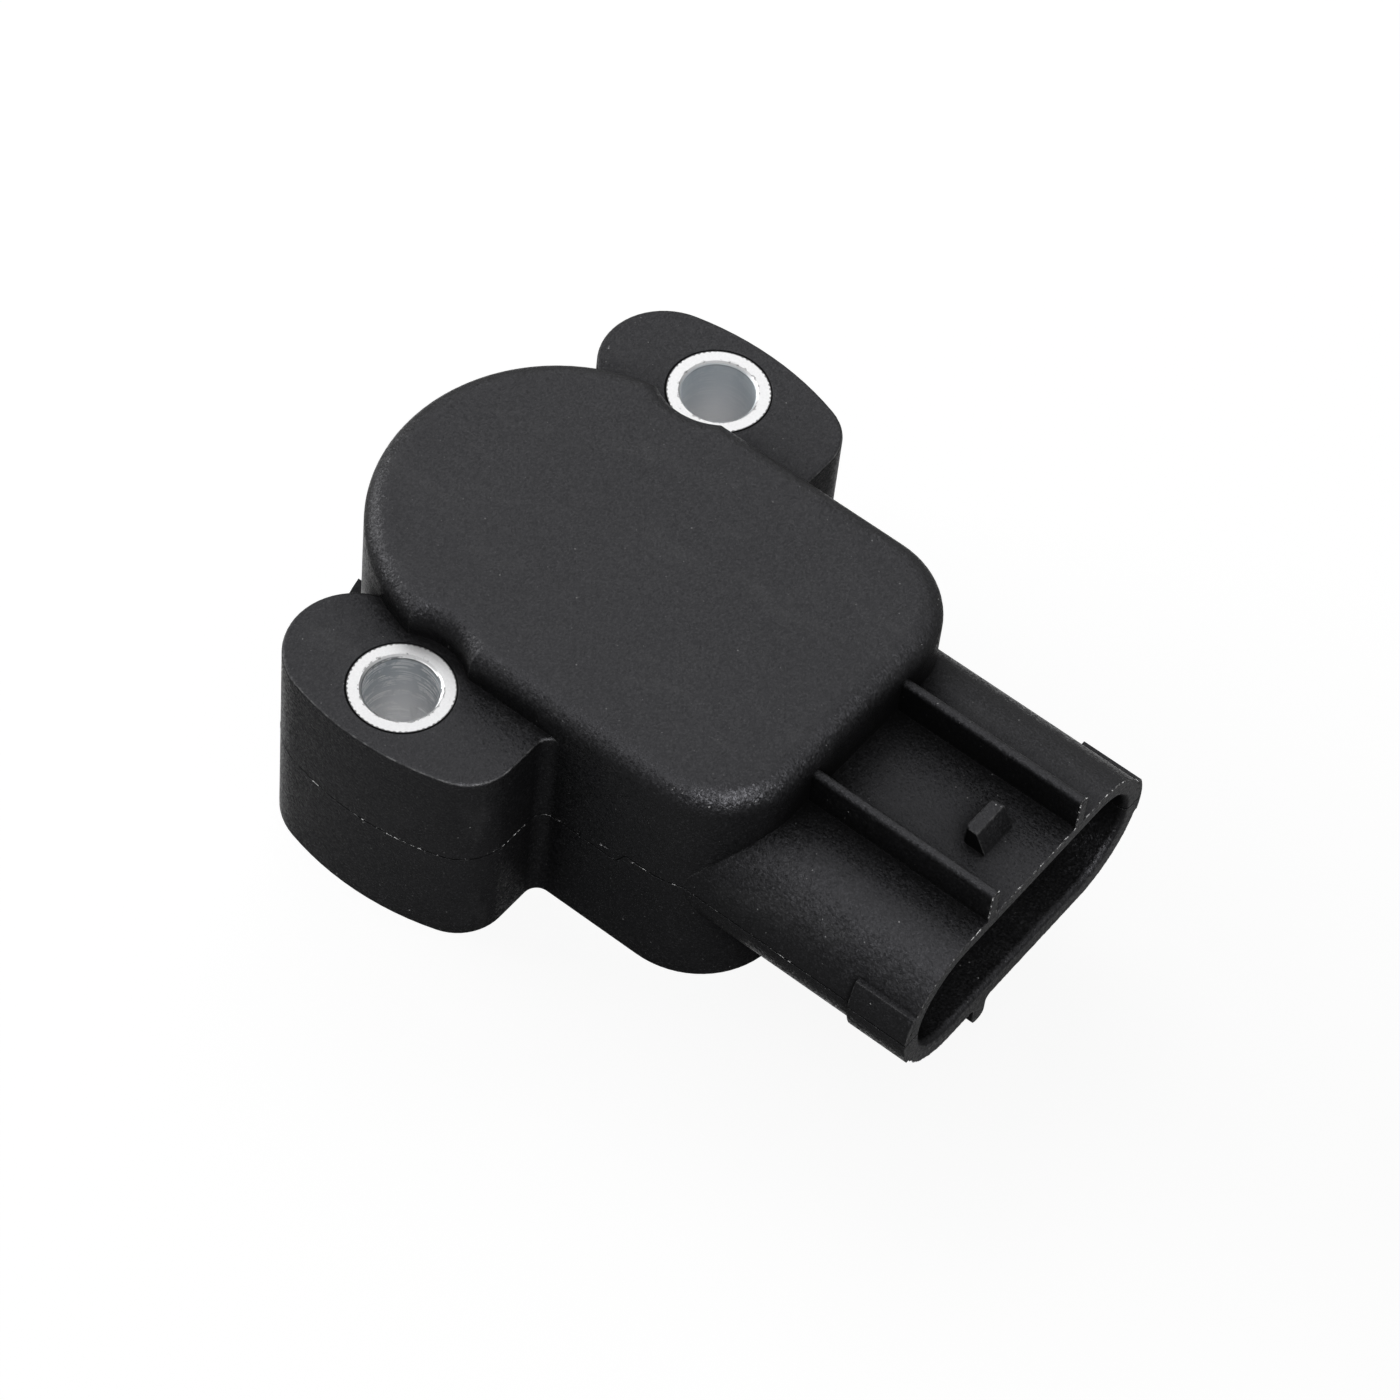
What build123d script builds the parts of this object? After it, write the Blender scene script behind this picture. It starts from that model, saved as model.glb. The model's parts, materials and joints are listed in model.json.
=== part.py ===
from build123d import *
import os
from math import acos, atan2, cos, degrees, radians, sin, sqrt

# Throttle position sensor. Millimetres, +Z up. The origin is on the rotor's axis, at the mounting
# face and midway between the two screw holes. +X points out of the connector's mouth.

# Screw mounting: two ears with metal bushes
hole_pitch = 35.0
screw_hole_diameter = 5.4
bush_wall = 1.05
bush_tuck = 0.2  # how far a bush reaches into the side of the body
bush_chamfer = 0.2
ear_height = 17.8
ear_margin = 1.5  # moulding outside the bush
ear_back_reach = 9.43
ear_back_round = 5.08
ear_front_reach = 9.9
ear_front_round = 3.9
ear_web_fillet = 1.1
head_clearance = 0.85  # room round the bush for a screw head
core_wall = 1.3  # moulding left round the hollows under the ears
core_round = 0.9
core_roof = 3.0

# Body
body_reach = 25.9  # rotor axis to the end wall
body_corner = 6.8
lid_rise = 2.95  # lid above the ears
top_fillet = 1.8
edge_break = 0.25
wall = 2.2
lid_thickness = 2.2
flange_lip = 2.05
flange_height = 2.5
flange_notch = 6.2

# Connector
shroud_length = 15.2  # end wall to mouth
shroud_setback = 0.55  # shroud side behind the body side
shroud_height = 11.5
shroud_middle = 10.25
shroud_wall = 1.5
mouth_round = 0.55  # inner edge of the mouth
floor_wall = 1.0  # connector floor in front of the end wall
rib_gap = 9.3
rib_thickness = 0.8
rib_round = 0.38
latch_setback = 5.3  # back of the lock wedge, from the mouth
latch_length = 1.95
latch_flat = 0.95
latch_width = 3.2
latch_offset = 0.3
latch_height = 1.7
latch_round = 0.5  # back corners, seen from above
latch_edge = 0.16
pad_length = 4.9
pad_thickness = 0.33
pad_half_height = 2.55
far_pad_drop = 1.35  # far pad below the shroud's middle
key_offset = 4.05
key_thickness = 1.4
key_height = 2.1
key_round = 0.6

# Terminals and their contacts
terminal_pitch = 5.5
terminal_width = 2.3
terminal_thickness = 0.64
terminal_setback = 4.6  # blade tip behind the mouth
terminal_bend = 1.0
riser_gap = 3.2  # riser behind the inside of the end wall
riser_height = 4.2
contact_width = 1.8
contact_thickness = 0.25
contact_lap = 2.4  # contact spring along the riser
contact_bend = 0.5

# Resistor board with its print
board_thickness = 0.8
board_gap = 0.4
print_thickness = 0.1
track_radius = 8.6
track_width = 1.4
collector_radius = 6.2
trace_width = 1.0
track_overrun = 9.0  # degrees of track past each end of the travel
pad_size = 2.6
stake_radius = 0.9
stake_head_radius = 1.5
stake_head_height = 0.5
stake_gap = 0.05
stake_reach = 11.6
stake_spread = 8.8

# Rear cover and seals
rim_wall = 1.2
cover_recess = 0.4
cover_thickness = 2.2
cover_gap = 0.1
cover_seal_thickness = 0.8
boss_height = 2.4
boss_wall = 1.3
tab_reach = 0.8
tab_length = 3.2
mounting_seal_inner = 8.6
mounting_seal_width = 1.8
mounting_seal_depth = 1.0
shaft_seal_height = 1.2
shaft_seal_width = 1.6

# Rotor, bearing and spring
travel = 100.0  # degrees
journal_radius = 5.0
running_gap = 0.05
seat_gap = 0.02
axial_play = 0.05
sleeve_wall = 1.0
sleeve_length = 2.6
washer_thickness = 0.5
washer_width = 1.5
rotor_recess = 0.8  # rotor's lower end above the mounting face
hub_radius = 6.4
disc_thickness = 1.8
disc_gap = 1.75  # disc inside the cavity's wall
lug_gap = 0.6
lug_angle = 10.0
stop_gap = 0.4  # stop ribs outside the disc
stop_angle = 6.0
stop_slack = 1.5  # degrees left at each stop
socket_radius = 3.9
socket_flat = 2.7
socket_depth = 8.0
socket_chamfer = 0.4
pivot_radius = 2.0
pivot_depth = 4.0
pivot_gap = 0.5
wiper_thickness = 0.2
wiper_height = 1.4
wiper_reach = 2.6
wiper_foot = 1.4
wiper_finger = 1.2
wiper_toe = 0.5
contact_gap = 0.02
spring_wire = 0.8
spring_turns = 4.25
spring_pitch = 1.05
spring_clearance = 0.7  # coil outside the hub
spring_lift = 1.4  # coil above the cover's boss
fixed_leg = 8.1
moving_leg = 4.0
leg_gap = 0.12
spring_rib_angle = 5.0
catch_radius = 0.7

# Sizes that follow
near_side = -1
far_side = 1
bush_radius = screw_hole_diameter / 2 + bush_wall
bush_places = [(0, near_side * hole_pitch / 2), (0, far_side * hole_pitch / 2)]
scallop_radius = bush_radius + head_clearance
body_half_width = hole_pitch / 2 - bush_radius + bush_tuck
body_height = ear_height + lid_rise
mouth = body_reach + shroud_length
connector_floor = body_reach + floor_wall
shroud_width = 2 * (body_half_width - shroud_setback)
shroud_top = shroud_middle + shroud_height / 2
shroud_bottom = shroud_middle - shroud_height / 2
rib_top = body_height - top_fillet

cavity_radius = body_half_width - wall
cavity_end = body_reach - wall
cavity_top = body_height - lid_thickness
cover_top = cover_recess + cover_thickness
rebate_depth = cover_top + cover_seal_thickness
rebate_radius = body_half_width - rim_wall
rebate_end = body_reach - rim_wall
boss_top = cover_top + boss_height
boss_radius = journal_radius + sleeve_wall + boss_wall
shaft_seal_radius = journal_radius + shaft_seal_width
sleeve_radius = journal_radius + sleeve_wall
mounting_seal_outer = mounting_seal_inner + mounting_seal_width

board_bottom = cavity_top - board_thickness
print_bottom = board_bottom - print_thickness
disc_top = print_bottom - wiper_height
disc_bottom = disc_top - disc_thickness
disc_radius = cavity_radius - disc_gap
shoulder = boss_top + washer_thickness + axial_play
rest_angle = 180 - travel / 2  # lug and wiper tip at rest, seen from above
riser_place = cavity_end - riser_gap
riser_top = shroud_middle + riser_height
contact_place = riser_place - (terminal_thickness + contact_thickness) / 2
pad_place = contact_place - pad_size
terminal_places = {"supply": terminal_pitch, "signal": 0, "ground": -terminal_pitch}

coil_radius = hub_radius + spring_clearance + spring_wire / 2
coil_bottom = boss_top + spring_lift
coil_height = spring_turns * spring_pitch
fixed_leg_angle = 180 + degrees(atan2(fixed_leg, coil_radius))
moving_leg_angle = fixed_leg_angle + 360 * spring_turns
stop_radius = disc_radius + stop_gap

# Ear outline: a round back end and a front corner, both touching an outer edge about the rotor's axis
ear_radius = hole_pitch / 2 + bush_radius + ear_margin
back_x = ear_back_round - ear_back_reach
back_y = sqrt((ear_radius - ear_back_round) ** 2 - back_x**2)
back_angle = degrees(atan2(back_y, back_x))
front_x = ear_front_reach - ear_front_round
front_y = sqrt((ear_radius - ear_front_round) ** 2 - front_x**2)
front_angle = degrees(atan2(front_y, front_x))
root_y = back_y - ear_back_round

os.makedirs("parts", exist_ok=True)


def write(piece, name):
    """Label one finished piece and write it to its own file."""
    piece.part.label = name
    export_step(piece.part, f"parts/{name}.step")


def body_plan(inset):
    """Outline of the body from above, moved in by inset: a round nose, straight sides, two corners."""
    half = body_half_width - inset
    end = body_reach - inset
    corner = body_corner - inset
    with BuildLine() as outline:
        CenterArc((0, 0), half, 90, 180)
        Line((0, -half), (end - corner, -half))
        CenterArc((end - corner, corner - half), corner, 270, 90)
        Line((end, corner - half), (end, half - corner))
        CenterArc((end - corner, half - corner), corner, 0, 90)
        Line((end - corner, half), (0, half))
    make_face(outline.edges())


def ear_plan(side):
    """Outline of one ear from above; its root lies inside the body."""
    with BuildLine() as outline:
        CenterArc((back_x, side * back_y), ear_back_round, -90 * side, side * (back_angle - 270))
        CenterArc((0, 0), ear_radius, side * back_angle, side * (front_angle - back_angle))
        CenterArc((front_x, side * front_y), ear_front_round, side * front_angle, -side * front_angle)
        Line((ear_front_reach, side * front_y), (ear_front_reach, side * root_y))
        Line((ear_front_reach, side * root_y), (back_x, side * root_y))
    make_face(outline.edges())


def ring_sector(inner, outer, start, size):
    """Part of a flat ring about the rotor's axis, from start over size degrees."""
    with BuildLine() as outline:
        inside = CenterArc((0, 0), inner, start, size)
        outside = CenterArc((0, 0), outer, start, size)
        Line(inside @ 0, outside @ 0)
        Line(inside @ 1, outside @ 1)
    make_face(outline.edges())


def ring(inner, outer):
    """Flat ring about the rotor's axis."""
    Circle(outer)
    Circle(inner, mode=Mode.SUBTRACT)


def direction(angle):
    """Level unit vector at an angle from +X."""
    return Vector(cos(radians(angle)), sin(radians(angle)), 0)


# Ears with the body's lower half
with BuildPart() as ears:
    with BuildSketch() as footprint:
        body_plan(0)
        ear_plan(near_side)
        ear_plan(far_side)
        at_front = footprint.vertices().filter_by(lambda v: abs(v.X - ear_front_reach) < 0.01)
        webs = at_front.filter_by(lambda v: abs(abs(v.Y) - body_half_width) < 0.01)
        fillet(webs, ear_web_fillet)
    extrude(amount=ear_height)
    fillet(ears.edges().group_by(Axis.Z)[-1], edge_break)

# Lock wedge on the connector: a flat top with rounded back corners, and a ramp towards the mouth
with BuildPart() as latch:
    with BuildSketch(Plane.XZ.offset(-latch_offset)):
        with BuildLine():
            latch_back = mouth - latch_setback
            Polyline(
                (latch_back, shroud_top - shroud_wall / 2),
                (latch_back, shroud_top + latch_height),
                (latch_back + latch_flat, shroud_top + latch_height),
                (latch_back + latch_length, shroud_top),
                (latch_back + latch_length, shroud_top - shroud_wall / 2),
                close=True,
            )
        make_face()
    extrude(amount=latch_width / 2, both=True)
    back_corners = latch.edges().filter_by(Axis.Z).group_by(Axis.X)[0]
    fillet(back_corners, min(latch_round, latch_flat / 2))
    fillet(latch.edges().group_by(Axis.Z)[-1], latch_edge)

# Hollows under the ears, either side of each bush
core_outer = sqrt(ear_radius**2 - ear_front_reach**2) - core_wall
core_inner = body_half_width + core_wall / 2
core_middle = (core_inner + core_outer) / 2
core_inside = bush_radius + core_wall
front_core = ear_front_reach - core_wall - core_inside
back_core = ear_back_reach - core_wall - core_inside - edge_break

with BuildPart() as housing:
    # Body under its rounded lid, cut back beside each bush
    with BuildSketch():
        body_plan(0)
        with Locations(*bush_places):
            Circle(scallop_radius, mode=Mode.SUBTRACT)
    extrude(amount=body_height)
    fillet(housing.edges().group_by(Axis.Z)[-1], top_fillet)
    add(ears.part)

    # Low flange round the nose, with a notch
    with BuildSketch():
        Circle(body_half_width + flange_lip)
        with Locations((-body_half_width, 0)):
            Rectangle(2 * body_half_width, flange_notch, mode=Mode.SUBTRACT)
        Rectangle(
            body_half_width + flange_lip,
            2 * (body_half_width + flange_lip),
            align=(Align.MAX, Align.CENTER),
            mode=Mode.INTERSECT,
        )
    extrude(amount=flange_height)

    # Connector shroud with its end pads, guide ribs, lock wedge and key
    with BuildSketch(Plane.YZ.offset(body_reach - body_corner)):
        with Locations((0, shroud_middle)):
            SlotOverall(shroud_width, shroud_height)
    extrude(amount=body_corner + shroud_length)
    for side, drop in ((near_side, pad_half_height), (far_side, far_pad_drop)):
        with BuildSketch(Plane.YZ.offset(mouth - pad_length)):
            with Locations((0, shroud_middle)):
                SlotOverall(shroud_width + 2 * pad_thickness, shroud_height + 2 * pad_thickness)
            with Locations((side * shroud_width / 2, shroud_middle + (pad_half_height - drop) / 2)):
                Rectangle(shroud_height, pad_half_height + drop, mode=Mode.INTERSECT)
        extrude(amount=pad_length)
    with BuildSketch(Plane.YZ.offset(body_reach - wall / 2)) as guide_ribs:
        for side in (near_side, far_side):
            with Locations((side * (rib_gap + rib_thickness) / 2, rib_top)):
                Rectangle(
                    rib_thickness,
                    rib_top - shroud_top + shroud_wall / 2,
                    align=(Align.CENTER, Align.MAX),
                )
        fillet(guide_ribs.vertices().group_by(Axis.Y)[-1], min(rib_round, 0.48 * rib_thickness))
    extrude(amount=shroud_length + wall / 2)
    add(latch.part)
    with BuildSketch(Plane.YZ.offset(body_reach - wall / 2)) as key_rib:
        with Locations((-key_offset, shroud_bottom - key_height)):
            Rectangle(
                key_thickness, key_height + shroud_wall / 2, align=(Align.CENTER, Align.MIN)
            )
        with Locations((-key_offset, shroud_bottom)):
            Rectangle(
                key_thickness + 4 * key_round, shroud_wall / 2, align=(Align.CENTER, Align.MIN)
            )
        key_tip = key_rib.vertices().group_by(Axis.Y)[0]
        key_root = key_rib.vertices().filter_by(
            lambda v: abs(v.Y - shroud_bottom) < 0.01
            and abs(abs(v.X + key_offset) - key_thickness / 2) < 0.01
        )
        fillet(key_tip + key_root, min(key_round, 0.45 * key_thickness))
    extrude(amount=shroud_length + wall / 2)

    # Rebate for the cover, the cavity, the connector's inside and the terminal slots
    with BuildSketch():
        body_plan(rim_wall)
    extrude(amount=rebate_depth, mode=Mode.SUBTRACT)
    with BuildSketch():
        body_plan(wall)
    extrude(amount=cavity_top, mode=Mode.SUBTRACT)
    with BuildSketch(Plane.YZ.offset(connector_floor)):
        with Locations((0, shroud_middle)):
            SlotOverall(shroud_width - 2 * shroud_wall, shroud_height - 2 * shroud_wall)
    extrude(amount=mouth - connector_floor, mode=Mode.SUBTRACT)
    rim = housing.faces().filter_by(Plane.YZ).sort_by(Axis.X)[-1]
    fillet(rim.inner_wires()[0].edges(), min(mouth_round, 0.45 * shroud_wall))
    with BuildSketch(Plane.YZ.offset(cavity_end)):
        for place in terminal_places.values():
            with Locations((place, shroud_middle)):
                Rectangle(terminal_width, terminal_thickness)
    extrude(amount=connector_floor - cavity_end, mode=Mode.SUBTRACT)

    # Bores for the bushes, and the hollows beside them
    with BuildSketch():
        with Locations(*bush_places):
            Circle(bush_radius + seat_gap)
    extrude(amount=ear_height, mode=Mode.SUBTRACT)
    with BuildSketch():
        for side in (near_side, far_side):
            with Locations((core_inside + front_core / 2, side * core_middle)):
                RectangleRounded(front_core, core_outer - core_inner, core_round)
            with Locations((-core_inside - back_core / 2, side * core_middle)):
                RectangleRounded(back_core, core_outer - core_inner, core_round)
    extrude(amount=ear_height - core_roof, mode=Mode.SUBTRACT)

    # Pivot for the rotor, and staked posts that hold the board
    with BuildSketch(Plane.XY.offset(disc_top - pivot_depth + pivot_gap)):
        Circle(pivot_radius)
    extrude(amount=cavity_top - disc_top + pivot_depth - pivot_gap)
    stake_places = [(stake_reach, -stake_spread / 2), (stake_reach, stake_spread / 2)]
    with BuildSketch(Plane.XY.offset(board_bottom)):
        with Locations(*stake_places):
            Circle(stake_radius)
    extrude(amount=board_thickness)
    with BuildSketch(Plane.XY.offset(board_bottom - stake_head_height)):
        with Locations(*stake_places):
            Circle(stake_head_radius)
    extrude(amount=stake_head_height)

    # Stop ribs at the ends of the rotor's travel, and the rib that holds the spring's fixed leg
    half_lug = lug_angle / 2 + stop_slack
    rib_root = cavity_radius + wall / 2
    with BuildSketch(Plane.XY.offset(disc_bottom)):
        ring_sector(stop_radius, rib_root, rest_angle - half_lug - stop_angle, stop_angle)
        ring_sector(stop_radius, rib_root, rest_angle + travel + half_lug, stop_angle)
    extrude(amount=board_bottom - stake_head_height - disc_bottom)
    leg_side = degrees(acos((coil_radius + spring_wire / 2 + leg_gap) / stop_radius))
    with BuildSketch(Plane.XY.offset(rebate_depth)):
        ring_sector(stop_radius, rib_root, fixed_leg_angle - leg_side, spring_rib_angle)
    extrude(amount=coil_bottom + spring_pitch - rebate_depth)

    # Tabs staked over the cover's edge
    tab_spread = degrees(tab_length / rebate_radius)
    with BuildSketch():
        for middle in (135, 180, 225):
            ring_sector(
                rebate_radius - tab_reach, body_half_width - rim_wall / 2, middle - tab_spread / 2, tab_spread
            )
        for side in (near_side, far_side):
            with Locations(((rebate_end - body_corner) / 2, side * (rebate_radius - tab_reach))):
                tab_align = Align.MIN if side == far_side else Align.MAX
                Rectangle(tab_length, tab_reach + rim_wall / 2, align=(Align.CENTER, tab_align))
        with Locations((rebate_end - tab_reach, 0)):
            Rectangle(tab_reach + rim_wall / 2, tab_length, align=(Align.MIN, Align.CENTER))
    extrude(amount=cover_recess)
write(housing, "housing")

# Metal bushes that take the screws' load
for name, place in zip(("near_bush", "far_bush"), bush_places):
    with BuildPart() as bush:
        with BuildSketch():
            with Locations(place):
                Circle(bush_radius)
                Circle(screw_hole_diameter / 2, mode=Mode.SUBTRACT)
        extrude(amount=ear_height)
        chamfer(bush.edges().filter_by(GeomType.CIRCLE).sort_by(SortBy.RADIUS)[:2], bush_chamfer)
    write(bush, name)

# Board on the cavity's ceiling
with BuildPart() as resistor_board:
    with BuildSketch(Plane.XY.offset(board_bottom)):
        body_plan(wall + board_gap)
        with Locations((pad_place + pad_size, 0)):
            Rectangle(
                body_reach, 2 * body_half_width, align=(Align.MIN, Align.CENTER), mode=Mode.SUBTRACT
            )
        Circle(pivot_radius + pivot_gap, mode=Mode.SUBTRACT)
        with Locations(*stake_places):
            Circle(stake_radius + stake_gap, mode=Mode.SUBTRACT)
    extrude(amount=board_thickness)
write(resistor_board, "resistor_board")

# Printed resistor and the conductors that lead to the three contact pads
track_start = rest_angle - track_overrun
track_size = travel + 2 * track_overrun
with BuildPart() as resistor_track:
    with BuildSketch(Plane.XY.offset(print_bottom)):
        ring_sector(
            track_radius - track_width / 2, track_radius + track_width / 2, track_start, track_size
        )
    extrude(amount=print_thickness)
write(resistor_track, "resistor_track")

for name, place in terminal_places.items():
    with BuildPart() as trace_print:
        with BuildSketch(Plane.XY.offset(print_bottom)):
            with BuildLine() as lead:
                if name == "signal":
                    arc = CenterArc((0, 0), collector_radius, 60, track_start + track_size - 60)
                    turn = Line(arc @ 0, (collector_radius + trace_width, 0))
                    Line(turn @ 1, (pad_place, 0))
                else:
                    side = far_side if place > 0 else near_side
                    arc = CenterArc((0, 0), track_radius, side * 90, side * (track_start - 90))
                    straight = Line(arc @ 0, (pad_place, side * track_radius))
                    Line(straight @ 1, (pad_place, place))
            trace(line_width=trace_width)
            with Locations((pad_place, place)):
                Rectangle(pad_size, pad_size)
        extrude(amount=print_thickness)
    write(trace_print, f"{name}_trace")

# Blades from the connector into the cavity, and the springs that press on the board's pads
contact_line = print_bottom - contact_gap - contact_thickness / 2
for name, place in terminal_places.items():
    with BuildPart() as terminal:
        with BuildSketch(Plane.XZ.offset(-place)):
            with BuildLine():
                FilletPolyline(
                    (mouth - terminal_setback, shroud_middle),
                    (riser_place, shroud_middle),
                    (riser_place, riser_top),
                    radius=terminal_bend,
                )
            trace(line_width=terminal_thickness)
        extrude(amount=terminal_width / 2, both=True)
        tip = terminal.faces().sort_by(Axis.X)[-1]
        chamfer(tip.edges(), terminal_thickness / 3)
    write(terminal, f"{name}_terminal")

    with BuildPart() as contact:
        with BuildSketch(Plane.XZ.offset(-place)):
            with BuildLine():
                FilletPolyline(
                    (contact_place, riser_top - contact_lap),
                    (contact_place, riser_top),
                    (pad_place + pad_size / 3, contact_line),
                    (pad_place - pad_size / 3, contact_line),
                    radius=contact_bend,
                )
            trace(line_width=contact_thickness)
        extrude(amount=contact_width / 2, both=True)
    write(contact, f"{name}_contact")

# Turning rotor: journal, hub and disc, with a drive socket below and a pivot bore above
catch_foot = coil_radius * direction(moving_leg_angle) + moving_leg * direction(moving_leg_angle + 90)
catch_place = catch_foot + (spring_wire / 2 + catch_radius + leg_gap) * direction(moving_leg_angle)
wiper_radial = direction(rest_angle)
wiper_tangent = direction(rest_angle + 90)
post_radius = wiper_foot / 4
wiper_posts = [
    radius * wiper_radial + (wiper_reach + wiper_foot / 2) * wiper_tangent
    for radius in (collector_radius - wiper_finger, track_radius - wiper_finger)
]
with BuildPart() as rotor:
    with BuildSketch(Plane.XZ):
        with BuildLine():
            Polyline(
                (0, rotor_recess),
                (journal_radius, rotor_recess),
                (journal_radius, shoulder),
                (hub_radius, shoulder),
                (hub_radius, disc_bottom),
                (disc_radius, disc_bottom),
                (disc_radius, disc_top),
                (0, disc_top),
                close=True,
            )
        make_face()
    revolve(axis=Axis.Z)
    with BuildSketch(Plane.XY.offset(disc_bottom)):
        ring_sector(hub_radius, cavity_radius - lug_gap, rest_angle - lug_angle / 2, lug_angle)
    extrude(amount=disc_thickness)
    with BuildSketch(Plane.XY.offset(disc_bottom)):
        with Locations(catch_place):
            Circle(catch_radius)
    extrude(amount=coil_bottom + coil_height - spring_pitch - disc_bottom)
    with BuildSketch(Plane.XY.offset(disc_top)):
        with Locations(*wiper_posts):
            Circle(post_radius)
    extrude(amount=2 * wiper_thickness)
    with BuildSketch(Plane.XY.offset(disc_top - pivot_depth)):
        Circle(pivot_radius + running_gap)
    extrude(amount=pivot_depth, mode=Mode.SUBTRACT)
    with BuildSketch(Plane.XY.offset(rotor_recess)):
        Circle(socket_radius)
        with Locations((socket_flat, 0)):
            Rectangle(
                socket_radius, 2 * socket_radius, align=(Align.MIN, Align.CENTER), mode=Mode.SUBTRACT
            )
    extrude(amount=socket_depth, mode=Mode.SUBTRACT)
    socket_mouth = rotor.edges().group_by(Axis.Z)[0].filter_by(
        lambda edge: edge.center().length < socket_radius
    )
    chamfer(socket_mouth, socket_chamfer)
write(rotor, "rotor")

# Sprung wiper: a foot on the rotor's disc and one finger for each track
finger_line = print_bottom - contact_gap - wiper_thickness / 2
foot_line = disc_top + wiper_thickness / 2
with BuildPart() as wiper:
    with BuildSketch(Plane(origin=(0, 0, disc_top), x_dir=wiper_radial, z_dir=(0, 0, 1))):
        with Locations((collector_radius - 2 * wiper_finger, wiper_reach)):
            Rectangle(
                track_radius - collector_radius + 2.5 * wiper_finger,
                wiper_foot,
                align=(Align.MIN, Align.MIN),
            )
        with Locations(
            (collector_radius - wiper_finger, wiper_reach + wiper_foot / 2),
            (track_radius - wiper_finger, wiper_reach + wiper_foot / 2),
        ):
            Circle(post_radius + stake_gap, mode=Mode.SUBTRACT)
    extrude(amount=wiper_thickness)
    for radius in (collector_radius, track_radius):
        start = (radius - wiper_finger / 2) * wiper_radial
        with BuildSketch(Plane(origin=start, x_dir=wiper_tangent, z_dir=wiper_radial)):
            with BuildLine():
                Polyline(
                    (wiper_reach + wiper_thickness, foot_line),
                    (wiper_reach, foot_line),
                    (wiper_toe / 2, finger_line),
                    (-wiper_toe / 2, finger_line),
                    (-wiper_toe, finger_line - wiper_toe / 2),
                )
            trace(line_width=wiper_thickness)
        extrude(amount=wiper_finger)
write(wiper, "wiper")

# Return spring: a coil round the hub with two straight legs
with BuildPart() as return_spring:
    with BuildLine(Plane.XY.rotated((0, 0, fixed_leg_angle))):
        coil = Helix(spring_pitch, coil_height, coil_radius, center=(0, 0, coil_bottom))
    with BuildSketch(Plane(origin=coil @ 0, z_dir=coil % 0)):
        Circle(spring_wire / 2)
    sweep(path=coil, is_frenet=True)
    for end, reach, length in ((0, -1, fixed_leg), (1, 1, moving_leg)):
        with BuildSketch(Plane(origin=coil @ end, z_dir=reach * (coil % end))):
            Circle(spring_wire / 2)
        extrude(amount=length)
write(return_spring, "return_spring")

# Cover with a boss for the bearing, a pocket for the shaft seal and a groove for the mounting seal
with BuildPart() as rear_cover:
    with BuildSketch(Plane.XY.offset(cover_recess)):
        body_plan(rim_wall + cover_gap)
    extrude(amount=cover_thickness)
    with BuildSketch(Plane.XY.offset(cover_recess)):
        Circle(boss_radius)
    extrude(amount=boss_top - cover_recess)
    with BuildSketch(Plane.XY.offset(cover_recess)):
        Circle(journal_radius + sleeve_wall / 2)
    extrude(amount=boss_top - cover_recess, mode=Mode.SUBTRACT)
    with BuildSketch(Plane.XY.offset(boss_top)):
        Circle(sleeve_radius + seat_gap)
    extrude(amount=-sleeve_length, mode=Mode.SUBTRACT)
    with BuildSketch(Plane.XY.offset(cover_recess)):
        Circle(shaft_seal_radius + seat_gap)
    extrude(amount=shaft_seal_height, mode=Mode.SUBTRACT)
    with BuildSketch(Plane.XY.offset(cover_recess)):
        ring(mounting_seal_inner - cover_gap, mounting_seal_outer + cover_gap)
    extrude(amount=mounting_seal_depth, mode=Mode.SUBTRACT)
write(rear_cover, "rear_cover")

# Gasket between the cover and the housing's ledge
with BuildPart() as cover_seal:
    with BuildSketch(Plane.XY.offset(cover_top)):
        body_plan(rim_wall + cover_gap)
    extrude(amount=cover_seal_thickness)
    with BuildSketch(Plane.XY.offset(cover_top)):
        body_plan(wall)
    extrude(amount=cover_seal_thickness, mode=Mode.SUBTRACT)
write(cover_seal, "cover_seal")

# Ring that seals against the throttle body
with BuildPart() as mounting_seal:
    with BuildSketch():
        ring(mounting_seal_inner, mounting_seal_outer)
    extrude(amount=cover_recess + mounting_seal_depth)
    fillet(mounting_seal.edges().group_by(Axis.Z)[0], cover_recess)
write(mounting_seal, "mounting_seal")

# Lip ring round the rotor's journal
with BuildPart() as shaft_seal:
    with BuildSketch(Plane.XZ):
        with BuildLine():
            lip = journal_radius + running_gap
            Polyline(
                (shaft_seal_radius, cover_recess),
                (shaft_seal_radius, cover_recess + shaft_seal_height),
                (lip, cover_recess + shaft_seal_height),
                (lip, cover_recess + shaft_seal_height / 2),
                (lip + shaft_seal_width / 2, cover_recess + shaft_seal_height / 4),
                (lip + shaft_seal_width / 2, cover_recess),
                close=True,
            )
        make_face()
    revolve(axis=Axis.Z)
write(shaft_seal, "shaft_seal")

# Plain bearing and the washer that the rotor's shoulder turns on
with BuildPart() as bearing_sleeve:
    with BuildSketch(Plane.XY.offset(boss_top - sleeve_length)):
        ring(journal_radius + running_gap, sleeve_radius)
    extrude(amount=sleeve_length)
write(bearing_sleeve, "bearing_sleeve")

with BuildPart() as thrust_washer:
    with BuildSketch(Plane.XY.offset(boss_top)):
        ring(journal_radius + running_gap, journal_radius + running_gap + washer_width)
    extrude(amount=washer_thickness)
write(thrust_washer, "thrust_washer")
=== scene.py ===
import json

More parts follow.
